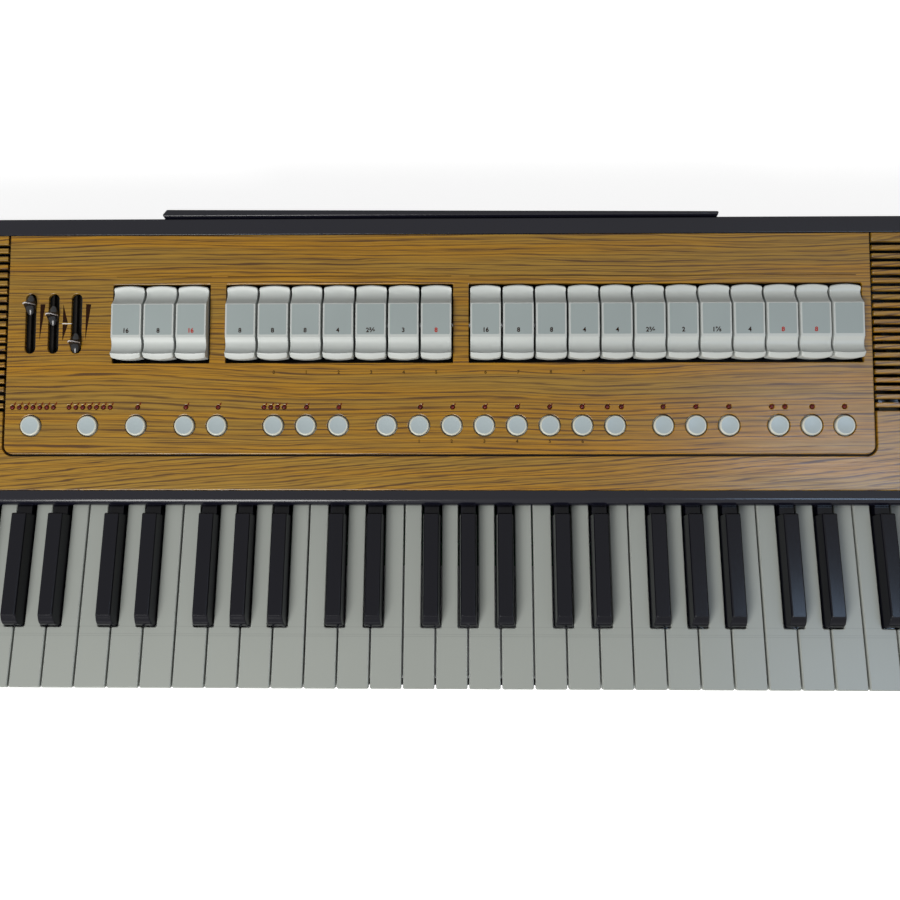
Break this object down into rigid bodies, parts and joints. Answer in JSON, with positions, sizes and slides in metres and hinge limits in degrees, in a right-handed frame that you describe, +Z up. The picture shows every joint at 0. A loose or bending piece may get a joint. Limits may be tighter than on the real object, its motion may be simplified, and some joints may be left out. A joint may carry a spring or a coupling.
{
  "type": "electronic organ",
  "caption": "Portable electronic organ: piano-style keyboard under a sloping oak-faced panel with rocker tabs, slide controls, round buttons, lamps and side grilles.",
  "frame": {"origin": "middle of the bounding box's base, on the surface that the feet stand on", "axes": "+X to the player's right along the keyboard, +Y to the rear, +Z up"},
  "size_m": [0.99, 0.3524, 0.126],
  "materials": {
    "oak": "satin lacquer over open grain",
    "anthracite_plastic": "fine matt texture",
    "white_key_plastic": "smooth, slightly glossy",
    "black_key_plastic": "satin",
    "tab_plastic": "smooth, slightly glossy",
    "button_plastic": "smooth, slightly glossy",
    "slider_cap_plastic": "satin",
    "cradle_plastic": "matt",
    "zinc_plated_steel": "plated sheet",
    "circuit_board_green": "solder mask",
    "rubber": "matt",
    "speaker_black": "matt"
  },
  "bodies": {
    "case": {"bottom_case": "anthracite_plastic", "left_cheek": "anthracite_plastic", "right_cheek": "anthracite_plastic", "key_chassis": "zinc_plated_steel", "contact_board": "circuit_board_green", "main_board": "circuit_board_green", "socket_plate": "anthracite_plastic", "front_left_foot": "rubber", "front_right_foot": "rubber", "rear_left_foot": "rubber", "rear_right_foot": "rubber", "key_rail": "anthracite_plastic", "oak_surround": "oak", "control_panel": "oak", "panel_board": "circuit_board_green", "tab_cradle": "cradle_plastic", "tab_shaft": "zinc_plated_steel", "left_speaker": "speaker_black", "right_speaker": "speaker_black", "rear_rail": "anthracite_plastic", "music_rest_ledge": "anthracite_plastic"},
    "octave_1_white_keys": {"octave_1_white_keys": "white_key_plastic"},
    "octave_2_white_keys": {"octave_2_white_keys": "white_key_plastic"},
    "octave_3_white_keys": {"octave_3_white_keys": "white_key_plastic"},
    "octave_4_white_keys": {"octave_4_white_keys": "white_key_plastic"},
    "octave_5_white_keys": {"octave_5_white_keys": "white_key_plastic"},
    "octave_1_black_keys": {"octave_1_black_keys": "black_key_plastic"},
    "octave_2_black_keys": {"octave_2_black_keys": "black_key_plastic"},
    "octave_3_black_keys": {"octave_3_black_keys": "black_key_plastic"},
    "octave_4_black_keys": {"octave_4_black_keys": "black_key_plastic"},
    "octave_5_black_keys": {"octave_5_black_keys": "black_key_plastic"},
    "top_c_key": {"top_c_key": "white_key_plastic"},
    "rocker_tab_01": {"rocker_tab_01": "tab_plastic"},
    "rocker_tab_02": {"rocker_tab_02": "tab_plastic"},
    "rocker_tab_03": {"rocker_tab_03": "tab_plastic"},
    "rocker_tab_04": {"rocker_tab_04": "tab_plastic"},
    "rocker_tab_05": {"rocker_tab_05": "tab_plastic"},
    "rocker_tab_06": {"rocker_tab_06": "tab_plastic"},
    "rocker_tab_07": {"rocker_tab_07": "tab_plastic"},
    "rocker_tab_08": {"rocker_tab_08": "tab_plastic"},
    "rocker_tab_09": {"rocker_tab_09": "tab_plastic"},
    "rocker_tab_10": {"rocker_tab_10": "tab_plastic"},
    "rocker_tab_11": {"rocker_tab_11": "tab_plastic"},
    "rocker_tab_12": {"rocker_tab_12": "tab_plastic"},
    "rocker_tab_13": {"rocker_tab_13": "tab_plastic"},
    "rocker_tab_14": {"rocker_tab_14": "tab_plastic"},
    "rocker_tab_15": {"rocker_tab_15": "tab_plastic"},
    "rocker_tab_16": {"rocker_tab_16": "tab_plastic"},
    "rocker_tab_17": {"rocker_tab_17": "tab_plastic"},
    "rocker_tab_18": {"rocker_tab_18": "tab_plastic"},
    "rocker_tab_19": {"rocker_tab_19": "tab_plastic"},
    "rocker_tab_20": {"rocker_tab_20": "tab_plastic"},
    "rocker_tab_21": {"rocker_tab_21": "tab_plastic"},
    "rocker_tab_22": {"rocker_tab_22": "tab_plastic"},
    "slider_cap_1": {"slider_cap_1": "slider_cap_plastic"},
    "slider_cap_2": {"slider_cap_2": "slider_cap_plastic"},
    "slider_cap_3": {"slider_cap_3": "slider_cap_plastic"},
    "left_button_strip": {"left_button_strip": "button_plastic"},
    "middle_button_strip": {"middle_button_strip": "button_plastic"},
    "right_button_strip": {"right_button_strip": "button_plastic"}
  },
  "joints": [
    {"name": "octave_1_white_keys_press", "type": "hinge", "parent": "case", "child": "octave_1_white_keys", "pos_m": [-0.34179, 0.02776, 0.064], "axis": [1, 0, 0], "range_deg": [0, 2.8], "stiffness_Nm_per_rad": 5, "springref_deg": -14.9},
    {"name": "octave_1_black_keys_press", "type": "hinge", "parent": "case", "child": "octave_1_black_keys", "pos_m": [-0.34179, 0.04376, 0.064], "axis": [1, 0, 0], "range_deg": [0, 2.8], "stiffness_Nm_per_rad": 3, "springref_deg": -14.9},
    {"name": "octave_2_white_keys_press", "type": "hinge", "parent": "case", "child": "octave_2_white_keys", "pos_m": [-0.17679, 0.02776, 0.064], "axis": [1, 0, 0], "range_deg": [0, 2.8], "stiffness_Nm_per_rad": 5, "springref_deg": -14.9},
    {"name": "octave_2_black_keys_press", "type": "hinge", "parent": "case", "child": "octave_2_black_keys", "pos_m": [-0.17679, 0.04376, 0.064], "axis": [1, 0, 0], "range_deg": [0, 2.8], "stiffness_Nm_per_rad": 3, "springref_deg": -14.9},
    {"name": "octave_3_white_keys_press", "type": "hinge", "parent": "case", "child": "octave_3_white_keys", "pos_m": [-0.01179, 0.02776, 0.064], "axis": [1, 0, 0], "range_deg": [0, 2.8], "stiffness_Nm_per_rad": 5, "springref_deg": -14.9},
    {"name": "octave_3_black_keys_press", "type": "hinge", "parent": "case", "child": "octave_3_black_keys", "pos_m": [-0.01179, 0.04376, 0.064], "axis": [1, 0, 0], "range_deg": [0, 2.8], "stiffness_Nm_per_rad": 3, "springref_deg": -14.9},
    {"name": "octave_4_white_keys_press", "type": "hinge", "parent": "case", "child": "octave_4_white_keys", "pos_m": [0.15321, 0.02776, 0.064], "axis": [1, 0, 0], "range_deg": [0, 2.8], "stiffness_Nm_per_rad": 5, "springref_deg": -14.9},
    {"name": "octave_4_black_keys_press", "type": "hinge", "parent": "case", "child": "octave_4_black_keys", "pos_m": [0.15321, 0.04376, 0.064], "axis": [1, 0, 0], "range_deg": [0, 2.8], "stiffness_Nm_per_rad": 3, "springref_deg": -14.9},
    {"name": "octave_5_white_keys_press", "type": "hinge", "parent": "case", "child": "octave_5_white_keys", "pos_m": [0.31821, 0.02776, 0.064], "axis": [1, 0, 0], "range_deg": [0, 2.8], "stiffness_Nm_per_rad": 5, "springref_deg": -14.9},
    {"name": "octave_5_black_keys_press", "type": "hinge", "parent": "case", "child": "octave_5_black_keys", "pos_m": [0.31821, 0.04376, 0.064], "axis": [1, 0, 0], "range_deg": [0, 2.8], "stiffness_Nm_per_rad": 3, "springref_deg": -14.9},
    {"name": "top_c_key_press", "type": "hinge", "parent": "case", "child": "top_c_key", "pos_m": [0.4125, 0.02776, 0.064], "axis": [1, 0, 0], "range_deg": [0, 2.8], "stiffness_Nm_per_rad": 0.8, "springref_deg": -14.9},
    {"name": "rocker_tab_01_tip", "type": "hinge", "parent": "case", "child": "rocker_tab_01", "pos_m": [-0.22934, 0.0929, 0.1006], "axis": [1, 0, 0], "range_deg": [0, 6]},
    {"name": "rocker_tab_02_tip", "type": "hinge", "parent": "case", "child": "rocker_tab_02", "pos_m": [-0.20524, 0.0929, 0.1006], "axis": [1, 0, 0], "range_deg": [0, 6]},
    {"name": "rocker_tab_03_tip", "type": "hinge", "parent": "case", "child": "rocker_tab_03", "pos_m": [-0.18114, 0.0929, 0.1006], "axis": [1, 0, 0], "range_deg": [0, 6]},
    {"name": "rocker_tab_04_tip", "type": "hinge", "parent": "case", "child": "rocker_tab_04", "pos_m": [-0.14464, 0.0929, 0.1006], "axis": [1, 0, 0], "range_deg": [0, 6]},
    {"name": "rocker_tab_05_tip", "type": "hinge", "parent": "case", "child": "rocker_tab_05", "pos_m": [-0.12054, 0.0929, 0.1006], "axis": [1, 0, 0], "range_deg": [0, 6]},
    {"name": "rocker_tab_06_tip", "type": "hinge", "parent": "case", "child": "rocker_tab_06", "pos_m": [-0.09644, 0.0929, 0.1006], "axis": [1, 0, 0], "range_deg": [0, 6]},
    {"name": "rocker_tab_07_tip", "type": "hinge", "parent": "case", "child": "rocker_tab_07", "pos_m": [-0.07234, 0.0929, 0.1006], "axis": [1, 0, 0], "range_deg": [0, 6]},
    {"name": "rocker_tab_08_tip", "type": "hinge", "parent": "case", "child": "rocker_tab_08", "pos_m": [-0.04824, 0.0929, 0.1006], "axis": [1, 0, 0], "range_deg": [0, 6]},
    {"name": "rocker_tab_09_tip", "type": "hinge", "parent": "case", "child": "rocker_tab_09", "pos_m": [-0.02415, 0.0929, 0.1006], "axis": [1, 0, 0], "range_deg": [0, 6]},
    {"name": "rocker_tab_10_tip", "type": "hinge", "parent": "case", "child": "rocker_tab_10", "pos_m": [-0.00005, 0.0929, 0.1006], "axis": [1, 0, 0], "range_deg": [0, 6]},
    {"name": "rocker_tab_11_tip", "type": "hinge", "parent": "case", "child": "rocker_tab_11", "pos_m": [0.03634, 0.0929, 0.1006], "axis": [1, 0, 0], "range_deg": [0, 6]},
    {"name": "rocker_tab_12_tip", "type": "hinge", "parent": "case", "child": "rocker_tab_12", "pos_m": [0.06044, 0.0929, 0.1006], "axis": [1, 0, 0], "range_deg": [0, 6]},
    {"name": "rocker_tab_13_tip", "type": "hinge", "parent": "case", "child": "rocker_tab_13", "pos_m": [0.08453, 0.0929, 0.1006], "axis": [1, 0, 0], "range_deg": [0, 6]},
    {"name": "rocker_tab_14_tip", "type": "hinge", "parent": "case", "child": "rocker_tab_14", "pos_m": [0.10863, 0.0929, 0.1006], "axis": [1, 0, 0], "range_deg": [0, 6]},
    {"name": "rocker_tab_15_tip", "type": "hinge", "parent": "case", "child": "rocker_tab_15", "pos_m": [0.13273, 0.0929, 0.1006], "axis": [1, 0, 0], "range_deg": [0, 6]},
    {"name": "rocker_tab_16_tip", "type": "hinge", "parent": "case", "child": "rocker_tab_16", "pos_m": [0.15683, 0.0929, 0.1006], "axis": [1, 0, 0], "range_deg": [0, 6]},
    {"name": "rocker_tab_17_tip", "type": "hinge", "parent": "case", "child": "rocker_tab_17", "pos_m": [0.18093, 0.0929, 0.1006], "axis": [1, 0, 0], "range_deg": [0, 6]},
    {"name": "rocker_tab_18_tip", "type": "hinge", "parent": "case", "child": "rocker_tab_18", "pos_m": [0.20502, 0.0929, 0.1006], "axis": [1, 0, 0], "range_deg": [0, 6]},
    {"name": "rocker_tab_19_tip", "type": "hinge", "parent": "case", "child": "rocker_tab_19", "pos_m": [0.22912, 0.0929, 0.1006], "axis": [1, 0, 0], "range_deg": [0, 6]},
    {"name": "rocker_tab_20_tip", "type": "hinge", "parent": "case", "child": "rocker_tab_20", "pos_m": [0.25322, 0.0929, 0.1006], "axis": [1, 0, 0], "range_deg": [0, 6]},
    {"name": "rocker_tab_21_tip", "type": "hinge", "parent": "case", "child": "rocker_tab_21", "pos_m": [0.27732, 0.0929, 0.1006], "axis": [1, 0, 0], "range_deg": [0, 6]},
    {"name": "rocker_tab_22_tip", "type": "hinge", "parent": "case", "child": "rocker_tab_22", "pos_m": [0.30141, 0.0929, 0.1006], "axis": [1, 0, 0], "range_deg": [0, 6]},
    {"name": "slider_cap_1_slide", "type": "slide", "parent": "case", "child": "slider_cap_1", "axis": [0, 0.9857, 0.1685], "range_m": [-0.03, 0]},
    {"name": "slider_cap_2_slide", "type": "slide", "parent": "case", "child": "slider_cap_2", "axis": [0, 0.9857, 0.1685], "range_m": [-0.0206, 0.0094]},
    {"name": "slider_cap_3_slide", "type": "slide", "parent": "case", "child": "slider_cap_3", "axis": [0, 0.9857, 0.1685], "range_m": [0, 0.03]},
    {"name": "left_button_strip_press", "type": "slide", "parent": "case", "child": "left_button_strip", "axis": [0, 0.1685, -0.9857], "range_m": [0, 0.0012], "stiffness_N_per_m": 500, "springref_m": -0.002},
    {"name": "middle_button_strip_press", "type": "slide", "parent": "case", "child": "middle_button_strip", "axis": [0, 0.1685, -0.9857], "range_m": [0, 0.0012], "stiffness_N_per_m": 900, "springref_m": -0.002},
    {"name": "right_button_strip_press", "type": "slide", "parent": "case", "child": "right_button_strip", "axis": [0, 0.1685, -0.9857], "range_m": [0, 0.0012], "stiffness_N_per_m": 500, "springref_m": -0.002}
  ]
}
